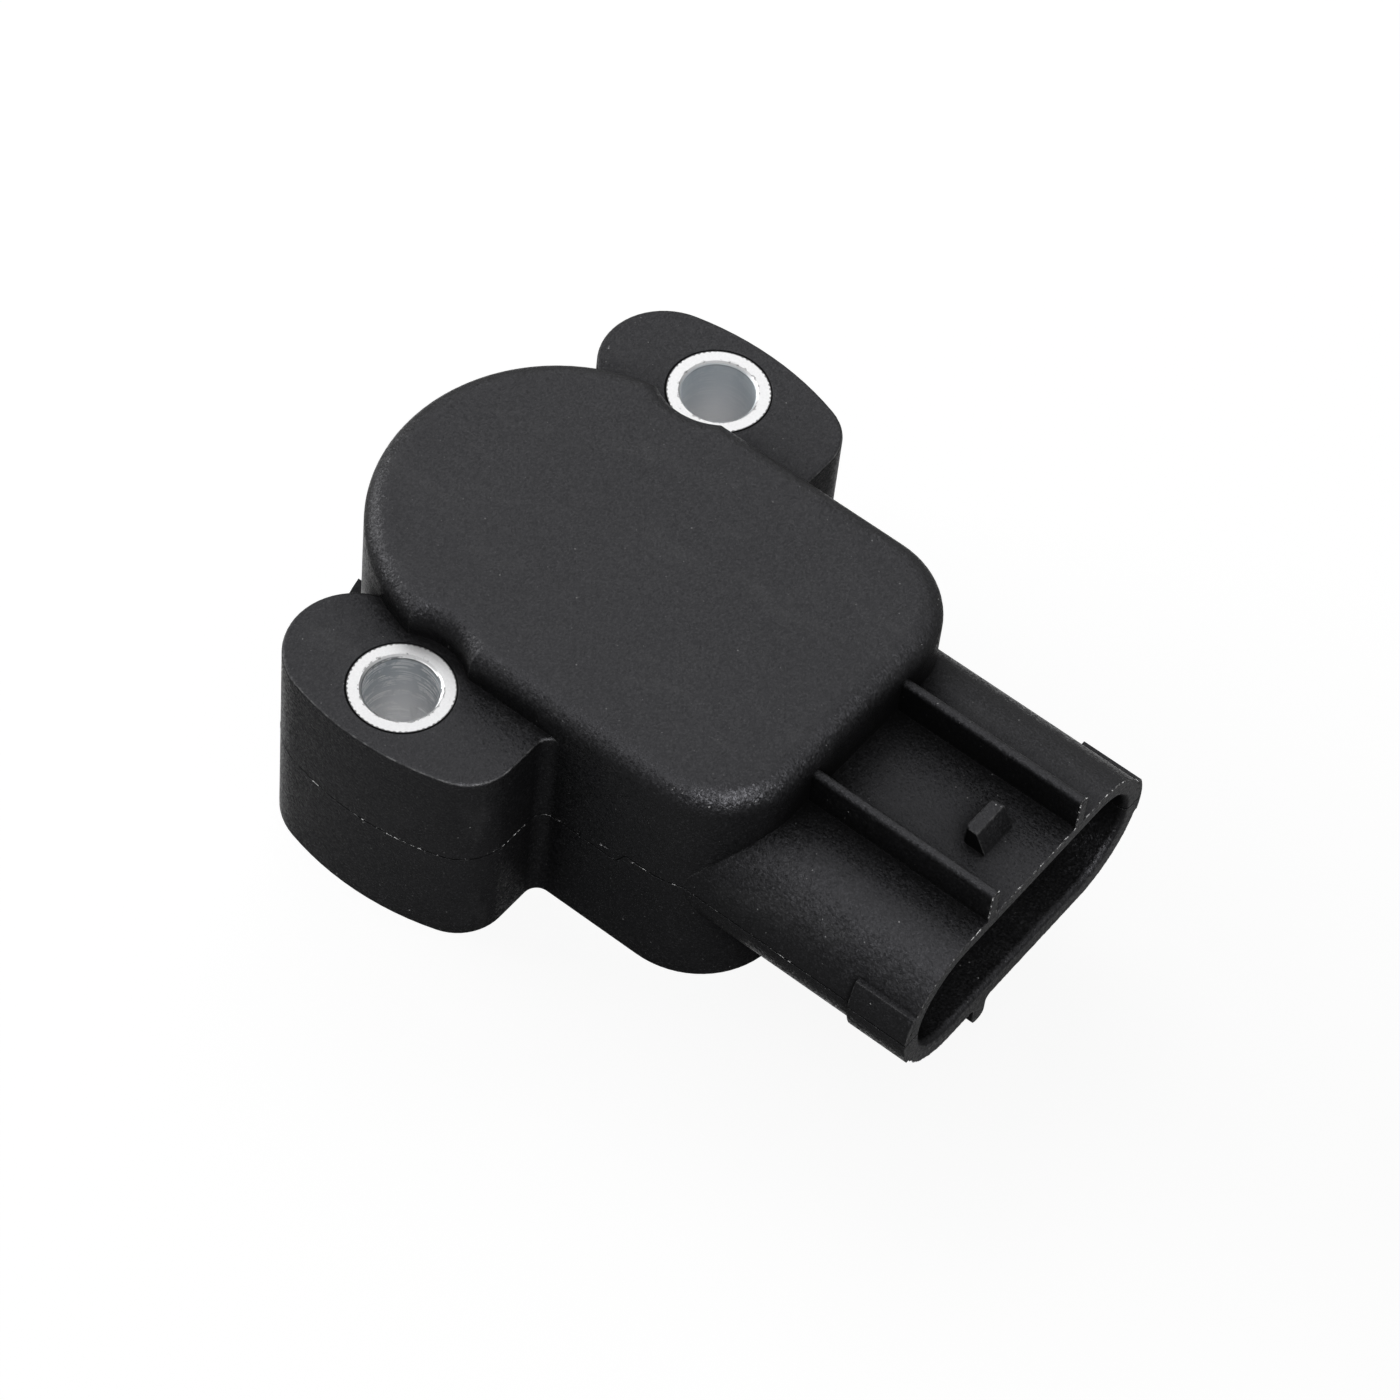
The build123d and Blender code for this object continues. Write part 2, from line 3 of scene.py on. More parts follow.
import bmesh
import bpy
import numpy as np
from mathutils import Matrix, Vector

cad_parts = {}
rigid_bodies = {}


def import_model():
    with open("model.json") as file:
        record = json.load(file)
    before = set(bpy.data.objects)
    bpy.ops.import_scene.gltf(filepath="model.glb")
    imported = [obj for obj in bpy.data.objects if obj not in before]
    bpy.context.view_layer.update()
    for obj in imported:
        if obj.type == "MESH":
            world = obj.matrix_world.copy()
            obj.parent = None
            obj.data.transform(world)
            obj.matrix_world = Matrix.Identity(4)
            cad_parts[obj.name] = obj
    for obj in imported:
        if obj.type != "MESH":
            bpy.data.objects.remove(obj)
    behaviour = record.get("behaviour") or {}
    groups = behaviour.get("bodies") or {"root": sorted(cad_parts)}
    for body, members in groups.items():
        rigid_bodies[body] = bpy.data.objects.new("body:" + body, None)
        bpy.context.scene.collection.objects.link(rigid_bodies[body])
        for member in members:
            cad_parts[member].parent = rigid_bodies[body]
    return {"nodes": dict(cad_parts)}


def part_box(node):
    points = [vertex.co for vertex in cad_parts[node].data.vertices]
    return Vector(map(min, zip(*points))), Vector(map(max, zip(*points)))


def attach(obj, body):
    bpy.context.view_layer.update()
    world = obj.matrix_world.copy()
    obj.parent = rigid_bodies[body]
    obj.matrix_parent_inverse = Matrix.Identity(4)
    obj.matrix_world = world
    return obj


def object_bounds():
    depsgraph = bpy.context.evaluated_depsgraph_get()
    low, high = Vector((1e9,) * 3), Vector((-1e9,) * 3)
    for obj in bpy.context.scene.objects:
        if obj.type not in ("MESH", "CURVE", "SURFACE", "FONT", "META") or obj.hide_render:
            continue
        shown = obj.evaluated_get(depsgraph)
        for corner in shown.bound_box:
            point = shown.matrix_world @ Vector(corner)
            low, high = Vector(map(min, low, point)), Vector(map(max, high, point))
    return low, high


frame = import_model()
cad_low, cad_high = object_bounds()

bl_info = {
    "name": "Throttle position sensor",
    "version": (1, 0, 0),
    "blender": (4, 5, 0),
    "location": "View3D > Sidebar > Sensor",
    "description": "Finishes, moulding flash and a small studio for the throttle position sensor",
    "category": "Object",
}

MM = 0.001

# Corners of the case and of the near bush, in metres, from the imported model
CASE_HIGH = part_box("housing")[1]
NEAR_LOW, NEAR_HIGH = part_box("near_bush")

# Places and sizes on the case and the bushes, in millimetres
LID_TOP = CASE_HIGH.z / MM
MOUTH_X = CASE_HIGH.x / MM
EAR_TOP = NEAR_HIGH.z / MM
BUSH_Y = -(NEAR_LOW.y + NEAR_HIGH.y) / 2 / MM
BUSH_R = (NEAR_HIGH.x - NEAR_LOW.x) / 2 / MM
BORE_R = 2.7

# The case's outline on its near side, from above, in millimetres and degrees about each arc's centre
FLASH_START = 36.0  # just short of the pad at the plug's end
PLUG_HALF = 13.4
PLUG_START = 21.78  # where the plug's side meets the body's corner
BODY_HALF = 13.95
BODY_CORNER, BODY_CORNER_R, BODY_CORNER_TURN = (19.1, -7.15), 6.8, -66.8
WEB, WEB_R = (11.0, -15.05), 1.1
EAR_FRONT, EAR_FRONT_R, EAR_FRONT_TURN = (6.0, -17.87), 3.9, -71.4
EAR_BACK, EAR_BACK_R, EAR_BACK_TURN, EAR_BACK_END = (-4.35, -17.13), 5.08, -104.3, -243.0
EAR_R = 22.75
ROTOR_AXIS = (0.0, 0.0)
NOSE_TURN = -117.0

# Half the length over which the parting line steps up to the plug, in millimetres
JOG_HALF = 0.55

# Grains of the case's sandy skin to the millimetre
GRAINS = 6.0

# The plug's mouth and its two guide ribs, seen from the end, in millimetres
PLUG_HALF_HEIGHT = 5.75
PLUG_MIDDLE = 10.25
RIB_Y = 5.05
RIB_HALF = 0.4
RIB_FOOT = 16.0
RIB_MIDDLE = 17.5
RIB_ROUND = 18.55  # height of the centre of a rib's round top

# Length of the longest sliver of flash and of burr, in metres
FLASH_LONGEST = 0.9 * MM
BURR_LONGEST = 0.45 * MM

# The burr lies this far behind the mouth's end, in millimetres, and leans ahead and away from the middle
BURR_INSET = 0.03
BURR_AHEAD = 0.5
BURR_AWAY = (0.3, 1.0)

CASE_PIECES = ("housing", "near_flash", "far_flash", "mouth_burr", "near_rib_burr", "far_rib_burr")
CIRCUITS = ("supply", "signal", "ground")

# Each lamp's name, place and size in metres, power in watts, and the pieces that it lights, None being all
LAMPS = (
    ("key_lamp", (-0.414, 0.414, 0.546), (0.65, 0.40), 1.2, None),
    ("lid_lamp", (-0.414, 0.414, 0.546), (0.65, 0.40), 0.3, "case_pieces"),
    ("low_lamp", (-0.760, -0.120, 0.190), (0.60, 0.30), 4.0, None),
    ("side_lamp", (0.421, 0.113, 0.671), (0.60, 0.45), 1.6, "case_pieces"),
    ("corner_lamp", (0.499, -0.324, 0.535), (0.26, 0.26), 8.0, "case_pieces"),
    ("top_lamp", (-0.200, -0.256, 0.728), (0.30, 0.30), 1.6, "case_pieces"),
    ("under_lamp", (-0.220, 0.300, -0.500), (0.50, 0.50), 2.4, "under_pieces"),
    ("under_fill", (-0.220, 0.300, -0.500), (0.50, 0.50), 0.8, "case_pieces"),
)

# Light that the surround gives to dull surfaces, and its brightness at the horizon as shiny ones show it
SURROUND_LIGHT = 0.13
SURROUND_LOW = 0.25

FLOOR_SHOWN = 0.72  # the floor's shade to the camera and in reflections
FLOOR_PAPER = 0.45  # the floor's shade where it lights the pieces
FLOOR_LIGHT = 0.26  # the lamps' light on the floor, as a share of white
FLOOR_DROP = 0.02 * MM  # how far the floor lies below the sensor

FILM_WIDTH = 36.0  # the camera's film, in millimetres


class CaseSettings(bpy.types.PropertyGroup):
    """Moulded case: its plastic, its parting line, its flash and its burr."""

    colour: bpy.props.FloatVectorProperty(
        name="Case colour", description="Glass-filled nylon of the case",
        subtype="COLOR", size=3, min=0.0, max=1.0, default=(0.0036, 0.0036, 0.0038),
    )
    # Also the colour of the painted highlights along edges and round the ears
    dust: bpy.props.FloatVectorProperty(
        name="Dust colour", description="Dust specks and worn edges",
        subtype="COLOR", size=3, min=0.0, max=1.0, default=(0.30, 0.30, 0.30),
    )
    torn: bpy.props.FloatVectorProperty(
        name="Torn colour", description="Stretched, whitened plastic of flash and burr",
        subtype="COLOR", size=3, min=0.0, max=1.0, default=(0.34, 0.34, 0.34),
    )
    grain: bpy.props.FloatProperty(
        name="Grain height", description="Height of the sandy moulded grain",
        unit="LENGTH", min=0.0, max=0.001, default=0.050 * MM, precision=6,
    )
    lean: bpy.props.FloatProperty(
        name="Grain lean", description="How far the single grains of the skin lean from its surface",
        subtype="FACTOR", min=0.0, max=1.0, default=0.30,
    )
    parting_level: bpy.props.FloatProperty(
        name="Parting level", description="Height of the parting line round the body and the ears",
        unit="LENGTH", min=0.0, max=0.02, default=9.0 * MM, precision=5,
    )
    plug_parting_level: bpy.props.FloatProperty(
        name="Plug parting level", description="Height of the parting line on the plug's half",
        unit="LENGTH", min=0.0, max=0.02, default=10.3 * MM, precision=5,
    )
    jog: bpy.props.FloatProperty(
        name="Jog place", description="Where the parting line steps up, from the rotor's axis",
        unit="LENGTH", min=0.0, max=0.03, default=16.85 * MM, precision=5,
    )
    flash_count: bpy.props.IntProperty(
        name="Flash slivers", description="Slivers of flash left along each side's parting line",
        min=0, max=2000, default=110,
    )
    burr_count: bpy.props.IntProperty(
        name="Burr slivers", description="Slivers of burr left round the plug's mouth",
        min=0, max=2000, default=700,
    )
    flash_height: bpy.props.FloatProperty(
        name="Flash height", description="How far the largest sliver of flash stands out",
        unit="LENGTH", min=0.0, max=0.001, default=0.05 * MM, precision=6,
    )
    burr_height: bpy.props.FloatProperty(
        name="Burr height", description="How far the largest sliver of burr stands out",
        unit="LENGTH", min=0.0, max=0.001, default=0.15 * MM, precision=6,
    )


class MetalSettings(bpy.types.PropertyGroup):
    """Metal pieces."""

    bush: bpy.props.FloatVectorProperty(
        name="Bush colour", description="Turned aluminium of the bushes",
        subtype="COLOR", size=3, min=0.0, max=1.0, default=(0.61, 0.61, 0.615),
    )
    blade: bpy.props.FloatVectorProperty(
        name="Blade colour", description="Tin-plated terminal blades",
        subtype="COLOR", size=3, min=0.0, max=1.0, default=(0.62, 0.59, 0.53),
    )
    bronze: bpy.props.FloatVectorProperty(
        name="Bronze colour", description="Sintered sleeve and washer",
        subtype="COLOR", size=3, min=0.0, max=1.0, default=(0.46, 0.29, 0.14),
    )
    sprung: bpy.props.FloatVectorProperty(
        name="Contact colour", description="Thin spring bronze of the contacts and the wiper",
        subtype="COLOR", size=3, min=0.0, max=1.0, default=(0.70, 0.50, 0.24),
    )
    wire: bpy.props.FloatVectorProperty(
        name="Wire colour", description="Drawn steel of the return spring",
        subtype="COLOR", size=3, min=0.0, max=1.0, default=(0.48, 0.48, 0.49),
    )


class InnerSettings(bpy.types.PropertyGroup):
    """Rotor, cover, seals and board."""

    rotor: bpy.props.FloatVectorProperty(
        name="Rotor colour", description="Natural acetal of the rotor",
        subtype="COLOR", size=3, min=0.0, max=1.0, default=(0.66, 0.62, 0.51),
    )
    cover: bpy.props.FloatVectorProperty(
        name="Cover colour", description="Plastic of the rear cover",
        subtype="COLOR", size=3, min=0.0, max=1.0, default=(0.050, 0.050, 0.053),
    )
    rubber: bpy.props.FloatVectorProperty(
        name="Rubber colour", description="Seals and gasket",
        subtype="COLOR", size=3, min=0.0, max=1.0, default=(0.018, 0.018, 0.019),
    )
    laminate: bpy.props.FloatVectorProperty(
        name="Board colour", description="Laminate of the resistor board",
        subtype="COLOR", size=3, min=0.0, max=1.0, default=(0.16, 0.085, 0.035),
    )
    carbon: bpy.props.FloatVectorProperty(
        name="Carbon colour", description="Printed resistor",
        subtype="COLOR", size=3, min=0.0, max=1.0, default=(0.015, 0.015, 0.016),
    )
    silver: bpy.props.FloatVectorProperty(
        name="Silver colour", description="Printed conductors",
        subtype="COLOR", size=3, min=0.0, max=1.0, default=(0.55, 0.55, 0.53),
    )


class StudioSettings(bpy.types.PropertyGroup):
    """Camera and floor."""

    azimuth: bpy.props.FloatProperty(
        name="Azimuth", description="Camera's turn about the sensor",
        subtype="ANGLE", default=np.radians(32.424),
    )
    elevation: bpy.props.FloatProperty(
        name="Elevation", description="Camera's height above the floor, as an angle",
        subtype="ANGLE", default=np.radians(53.355),
    )
    roll: bpy.props.FloatProperty(
        name="Roll", description="Camera's lean to one side",
        subtype="ANGLE", default=np.radians(7.19),
    )
    distance: bpy.props.FloatProperty(
        name="Distance", description="Camera to the sensor's origin, along the view",
        unit="LENGTH", min=0.05, max=5.0, default=370.323 * MM,
    )
    aside: bpy.props.FloatProperty(
        name="Aside", description="Sensor's origin right of the view's middle",
        unit="LENGTH", default=-10.786 * MM, precision=5,
    )
    above: bpy.props.FloatProperty(
        name="Above", description="Sensor's origin above the view's middle",
        unit="LENGTH", default=0.871 * MM, precision=5,
    )
    focal: bpy.props.FloatProperty(
        name="Focal length", description="Focal length on 36 mm wide film, in millimetres",
        min=10.0, max=500.0, default=131.59,
    )
    floor_size: bpy.props.FloatProperty(
        name="Floor size", description="Side of the floor",
        unit="LENGTH", min=0.1, max=10.0, default=2.4,
    )
    shadow: bpy.props.FloatProperty(
        name="Shadow", description="How much of the shadow the floor keeps",
        subtype="FACTOR", min=0.0, max=0.9, default=0.30,
    )


class Field:
    """A number, vector or colour that varies over a surface: one socket of a material's nodes.

    Arithmetic on a Field adds Math nodes, and node() adds any other kind.
    """

    def __init__(self, tree, socket=None):
        self.tree = tree
        self.socket = socket

    def node(self, kind, settings=None, values=None, output=0):
        """Add one node: its settings are set first, then the values or links of its sockets."""
        made = self.tree.nodes.new("ShaderNode" + kind)
        for name, value in (settings or {}).items():
            setattr(made, name, value)
        for name, value in (values or {}).items():
            if isinstance(value, Field):
                self.tree.links.new(value.socket, made.inputs[name])
            else:
                made.inputs[name].default_value = value
        return Field(self.tree, made.outputs[output] if made.outputs else None)

    def math(self, operation, first, second=0.0):
        """Add a Math node on two numbers."""
        return self.node("Math", {"operation": operation}, {0: first, 1: second})

    def __add__(self, other):
        return self.math("ADD", self, other)

    __radd__ = __add__

    def __mul__(self, other):
        return self.math("MULTIPLY", self, other)

    __rmul__ = __mul__

    def __sub__(self, other):
        return self.math("SUBTRACT", self, other)

    def __rsub__(self, other):
        return self.math("SUBTRACT", other, self)

    def __pow__(self, other):
        return self.math("POWER", self, other)

    def __gt__(self, other):
        return self.math("GREATER_THAN", self, other)

    def __lt__(self, other):
        return self.math("LESS_THAN", self, other)

    def __abs__(self):
        return self.math("ABSOLUTE", self)

    def most(self, other):
        """The larger of two numbers."""
        return self.math("MAXIMUM", self, other)

    def rise(self, low, high):
        """0 at low, 1 at high, smooth between."""
        return self.node(
            "MapRange", {"interpolation_type": "SMOOTHSTEP"},
            {"Value": self, "From Min": low, "From Max": high},
        )

    def mix(self, first, second):
        """Colour between first and second, by this Field."""
        return self.node("Mix", {"data_type": "RGBA"}, {0: self, 6: first, 7: second}, output=2)

    def vector(self, operation, other=(0.0, 0.0, 0.0), output=0):
        """Vector Math on this vector and another."""
        return self.node("VectorMath", {"operation": operation}, {0: self, 1: other}, output)

    def scaled(self, factor):
        """This vector times a number."""
        return self.node("VectorMath", {"operation": "SCALE"}, {0: self, "Scale": factor})


def rgba(colour):
    """A property's colour with full alpha."""
    return (*colour, 1.0)


def shade(colour, share):
    """A colour made darker or paler by one factor, with full alpha."""
    return rgba([share * part for part in colour])


def grey(level):
    """A grey with full alpha."""
    return rgba((level, level, level))


def layered(tint, layers):
    """A colour with others laid over it in turn, each one by its mask times its share."""
    for mask, share, colour in layers:
        tint = (mask * share).mix(tint, colour)
    return tint


def finish(name, metallic=0.0, specular=0.5, coat=0.0):
    """A new material: its principled shader's sockets and its Object coordinates in millimetres."""
    material = bpy.data.materials.new(name)
    material.use_nodes = True
    material.node_tree.nodes.clear()
    start = Field(material.node_tree)
    shader = start.node("BsdfPrincipled", None, {
        "Metallic": metallic, "Specular IOR Level": specular, "Coat Weight": coat,
    })
    start.node("OutputMaterial", None, {"Surface": shader})
    place = start.node("TexCoord", output="Object").scaled(1 / MM)
    return material, shader.socket.node.inputs, place


def feed(inputs, colour, roughness, height, distance, normal=None):
    """Link the varying values of a finish to its principled shader, height being a bump of distance."""
    colour.tree.links.new(colour.socket, inputs["Base Color"])
    roughness.tree.links.new(roughness.socket, inputs["Roughness"])
    values = {"Height": height, "Distance": distance}
    if normal is not None:
        values["Normal"] = normal
    bump = height.node("Bump", None, values)
    bump.tree.links.new(bump.socket, inputs["Normal"])


def axes(place):
    """The three coordinates of a place."""
    return tuple(place.node("SeparateXYZ", None, {0: place}, output=n) for n in range(3))


def noise(place, scale, detail=2.0, rough=0.5):
    """Smooth noise from 0 to 1, with about scale bumps to the millimetre."""
    return place.node(
        "TexNoise", None, {"Vector": place, "Scale": scale, "Detail": detail, "Roughness": rough}
    )


def stretched(place, scale, turn=(0.0, 0.0, 0.0)):
    """A place turned and scaled along each axis."""
    return place.node("Mapping", None, {"Vector": place, "Rotation": turn, "Scale": scale})


def cells(place, scale, output):
    """Random cells, each 1 / scale wide: the distance from a cell's middle, or a colour of its own."""
    return place.node("TexVoronoi", None, {"Vector": place, "Scale": scale}, output=output)


def specks(place, scale, size, share):
    """Round specks: 1 within size of the middle of a share of the cells, one cell being 1 / scale wide."""
    reach = cells(place, scale, "Distance")
    chance = place.node("SeparateColor", None, {0: cells(place, scale, "Color")}, output=0)
    return (1.0 - reach.rise(size * scale * 0.6, size * scale)) * (chance < share)


def openness(place, reach, samples):
    """1 where nothing of the same piece stands within reach of the surface, 0 where it is shut in."""
    return place.node(
        "AmbientOcclusion", {"samples": samples, "only_local": True}, {"Distance": reach}, output="AO"
    )


def leaning(place, normal, lean):
    """A normal that leans another way in each small cell, as the grains of a sandy skin do.

    It is normal + lean * (the cell's random colour - 0.5), made one unit long.
    """
    aside = cells(place, GRAINS, "Color").vector("SUBTRACT", (0.5, 0.5, 0.5))
    return normal.vector("ADD", aside.scaled(lean)).vector("NORMALIZE")


def about_bush(place):
    """A place about the axis of the bush on its side: along x, across, and the distance from that axis."""
    x, y, _ = axes(place)
    across = abs(y) - BUSH_Y
    return x, across, (x * x + across * across) ** 0.5


def dress(nodes, material):
    """Give CAD nodes one material."""
    for name in nodes:
        node = frame["nodes"][name]
        node.data.materials.clear()
        node.data.materials.append(material)


def rub_marks(place):
    """Fine slanting scratches, in patches."""
    lines = noise(stretched(place, (0.30, 7.0, 7.0), (0.0, 0.0, 0.6)), 0.5, 3.0).rise(0.62, 0.74)
    return lines * noise(place, 0.09, 2.0).rise(0.46, 0.62)


def dust_smears(place):
    """Broad slanting smears of dust."""
    return noise(stretched(place, (1.0, 2.6, 1.0), (0.0, 0.0, -0.5)), 0.13, 4.0, 0.6).rise(0.54, 0.74)


def dust_motes(place):
    """Specks of dust in two sizes."""
    return (specks(place, 1.5, 0.050, 0.40) * 0.7).most(specks(place, 0.8, 0.075, 0.30))


def edge_wear_and_highlight(place, soft, straight):
    """Wear and painted highlight along outer edges: where the softened normal leaves the straight one, in
    the open.
    """
    edge = 1.0 - soft.vector("DOT_PRODUCT", straight, output="Value")
    outer = openness(place, 0.4 * MM, 8)
    patches = noise(place, 0.7, 4.0, 0.7).rise(0.32, 0.56)
    return edge.rise(0.03, 0.20) * outer.rise(0.86, 0.98) * patches


def painted_brink_highlight(place, straight):
    """Painted highlight, in patches, along the narrow slope round the top of each ear."""
    z = axes(place)[2]
    tilt = axes(straight)[2]
    slope = tilt.rise(0.40, 0.58) * (1.0 - tilt.rise(0.72, 0.88))
    patches = noise(place, 0.9, 4.0, 0.7).rise(0.44, 0.66)
    return slope * (z > EAR_TOP - 0.27) * (z < EAR_TOP) * (0.2 + 0.8 * patches)


def parting_marks(place, case):
    """The seam, which is the broken parting line and the gap round each bush, and crumbs by that line.

    The line's height goes smoothly from the body's parting level to the plug's, over the jog.
    """
    x, _, z = axes(place)
    low, high, jog = case.parting_level / MM, case.plug_parting_level / MM, case.jog / MM
    away = abs(z - (low + (high - low) * x.rise(jog - JOG_HALF, jog + JOG_HALF)))
    line = (1.0 - away.rise(0.035, 0.085)) * noise(place, 0.35, 3.0).rise(0.30, 0.42)
    crumbs = (1.0 - away.rise(0.06, 0.16)) * noise(place, 2.4, 2.0, 0.6).rise(0.65, 0.70)
    gap = 1.0 - abs(about_bush(place)[2] - BUSH_R).rise(0.09, 0.17)
    return line.most(gap * (z > EAR_TOP - 0.3)), crumbs


def hollows(place):
    """1 deep inside the plug and in creases, where hardly any light comes in, and 0 on open faces."""
    room = openness(place, 25.0 * MM, 2)
    nook = openness(place, 4.0 * MM, 2)
    return (1.0 - room.rise(0.32, 0.82)).most(1.0 - nook.rise(0.52, 1.0))


def mix_painted_shade(material, inputs, shade_and_seam, colour):
    """Mix in painted shade, a dull and darker copy of the finish, by the given mask."""
    tree = material.node_tree
    dull = shade_and_seam.node("BsdfPrincipled", None, {
        "Base Color": colour, "Roughness": 0.7, "Specular IOR Level": 0.02,
    })
    bright = Field(tree, inputs["Base Color"].node.outputs[0])
    whole = shade_and_seam.node("MixShader", None, {0: shade_and_seam, 1: bright, 2: dull})
    tree.links.new(whole.socket, tree.get_output_node("ALL").inputs["Surface"])


def moulded(name, colour, case, parting):
    """Sandy moulded plastic with dust, faint rubbing, worn edges, painted highlights and shade and, on the
    case, a parting line.
    """
    material, inputs, place = finish(name, specular=0.27)
    inputs["Specular Tint"].default_value = (0.93, 0.93, 1.0, 1.0)
    dust = rgba(case.dust)
    soft = place.node("Bevel", {"samples": 2}, {"Radius": 0.16 * MM})
    straight = place.node("NewGeometry", output="Normal")
    x, _, z = axes(place)
    on_lid = z > LID_TOP - 0.2
    grain = noise(place, 5.0, 2.0, 0.6)
    flecks = noise(place, 6.5, 1.0).rise(0.57, 0.72)
    pits = noise(place, 1.7, 3.0, 0.55)
    rubs = rub_marks(place) * on_lid
    motes = dust_motes(place) * (1.0 - 0.6 * on_lid)
    # Painted shade: a darker, duller copy of the plastic, mixed in where it is shut in and along the seam
    shade_and_seam = hollows(place)
    tint = noise(place, 0.10, 3.0).rise(0.25, 0.75).mix(shade(colour, 0.80), shade(colour, 1.20))
    # Pale flecks of grain, dust smears, rub marks, and worn edges that are partly painted highlights
    tint = layered(tint, (
        (flecks, 0.6, shade(colour, 5.0)),
        (dust_smears(place), 0.016, dust),
        (rubs, 0.020, dust),
        (edge_wear_and_highlight(place, soft, straight), 0.28, dust),
    ))
    height = grain * 1.2 + pits * 0.4
    roughness = 0.30 + 0.22 * grain.rise(0.3, 0.7) - 0.05 * rubs + 0.10 * motes
    if parting:
        seam, crumbs = parting_marks(place, case)
        rim = x.rise(MOUTH_X - 0.10, MOUTH_X - 0.03)
        sand = noise(place, 3.6, 3.0, 0.7).rise(0.34, 0.66)
        # Painted highlights round the top of each ear, the pale sandy rim of the mouth, and crumbs by the
        # parting line
        tint = layered(tint, (
            (painted_brink_highlight(place, straight), 0.25, dust),
            (rim, 0.35, sand.mix(shade(colour, 5.0), shade(case.dust, 0.30))),
            (crumbs, 0.6, dust),
        ))
        height = height - seam * 4.0 + crumbs * 2.0
        shade_and_seam = shade_and_seam.most(seam)
    tint = layered(tint, ((motes, 0.65, dust),))
    feed(inputs, tint, roughness, height, case.grain, leaning(place, soft, case.lean))
    mix_painted_shade(material, inputs, shade_and_seam * 0.94, shade(colour, 0.25))
    return material


def torn(name, colour, case):
    """Torn plastic of flash and burr: dark where it is whole, pale where it was stretched."""
    material, inputs, place = finish(name, specular=0.30)
    pale = noise(place, 2.6, 3.0, 0.65).rise(0.50, 0.60)
    fibre = noise(place, 8.0, 2.0)
    tint = pale.mix(shade(colour, 2.0), rgba(case.torn))
    feed(inputs, tint, 0.50 + 0.2 * fibre, fibre, 0.01 * MM)
    return material


def bush_metal(colour):
    """Turned aluminium: a dull sandy end face with a toothed edge, and a grey bore with grooves and painted
    light.
    """
    material, inputs, place = finish("bush_metal", metallic=1.0)
    x, across, radius = about_bush(place)
    _, y, z = axes(place)
    depth = EAR_TOP - z
    far = y > 0.0
    inside = 1.0 - radius.rise(BORE_R + 0.04, BORE_R + 0.08)
    sand = noise(place, 7.0, 3.0, 0.65)
    rings = noise(place.node("CombineXYZ", None, {0: radius, 1: 0.0, 2: 0.0}), 6.0, 3.0, 0.7)
    broken = noise(place, 0.9, 3.0, 0.65).rise(0.40, 0.56)
    # Painted highlight: a paler band down the bore, where the grooves are fainter
    smooth = 1.0 - abs(x + 1.2).rise(0.2, 1.1)
    round_bore = place.node("CombineXYZ", None, {0: 0.03 * x, 1: 0.03 * across, 2: z + 0.06 * x})
    grooves = 1.0 - abs(noise(round_bore, 2.8, 2.0, 0.6) - 0.5).rise(0.03, 0.08)
    # The bore's turning grooves: real bumps, and painted white as glints, faint in the far bush
    grooves_and_glints = inside * grooves * broken * (1.0 - 0.5 * smooth) * (1.0 - 0.8 * far)
    brink = 1.0 - abs(radius - (BORE_R + 0.22)).rise(0.03, 0.16)
    nicks = noise(place, 2.2, 3.0, 0.7).rise(0.69 - 0.16 * brink, 0.75 - 0.16 * brink) * (1.0 - inside)
    ripple = x.math("SINE", x.math("ARCTAN2", across, x) * 58.0)
    teeth = (radius + 0.05 * broken * ripple).rise(BUSH_R - 0.09, BUSH_R - 0.03)
    # Painted light in the bores: the far bore painted paler as a sheen, and both painted paler deeper down
    near_wall, far_bore_sheen = (
        rgba([share * part for share, part in zip(shares, colour)])
        for shares in ((0.88, 0.94, 0.98), (1.12, 1.19, 1.23))
    )
    bore_painted_light = depth.rise(0.3, 6.5).mix(far.mix(near_wall, far_bore_sheen), shade(colour, 1.50))
    tint = sand.rise(0.3, 0.7).mix(shade(colour, 0.90), rgba(colour))
    # Over the bore: a dark band round its top, stronger in the near bush, and the painted highlight band;
    # over the face: nicks and the dark toothed edge; then the painted glints
    tint = layered(inside.mix(tint, bore_painted_light), (
        (inside * (1.0 - depth.rise(0.25, 0.45)), 0.75 - 0.5 * far, shade(colour, 0.22)),
        (inside * smooth, 0.15, shade(colour, 1.45)),
        (nicks, 0.7, shade(colour, 0.30)),
        (teeth, 0.85, shade(colour, 0.10)),
        (grooves_and_glints, 1.0, grey(1.0)),
    ))
    roughness = 0.36 + 0.14 * sand + inside * (0.20 - 0.10 * grooves_and_glints)
    height = (0.25 * rings + 0.35 * sand - nicks) * (1.0 - inside) + 0.8 * grooves_and_glints
    feed(inputs, tint, roughness, height, 0.02 * MM)
    return material


def drawn_metal(name, colour, roughness, stretch):
    """Rolled or drawn metal with fine lines in one direction and a little tarnish."""
    material, inputs, place = finish(name, metallic=1.0)
    lines = noise(stretched(place, stretch), 4.0, 3.0, 0.65)
    tarnish = noise(place, 0.7, 3.0)
    tint = tarnish.rise(0.35, 0.75).mix(shade(colour, 0.72), rgba(colour))
    feed(inputs, tint, roughness + 0.22 * lines, lines, 0.006 * MM)
    return material


def porous_metal(name, colour):
    """Sintered bronze: small pores and oil-dark patches."""
    material, inputs, place = finish(name, metallic=1.0)
    pores = specks(place, 5.0, 0.07, 0.55)
    patches = noise(place, 1.1, 3.0)
    tint = patches.rise(0.35, 0.7).mix(shade(colour, 0.55), rgba(colour))
    tint = (pores * 0.8).mix(tint, shade(colour, 0.15))
    feed(inputs, tint, 0.42 + 0.2 * patches, 1.0 - pores, 0.02 * MM)
    return material


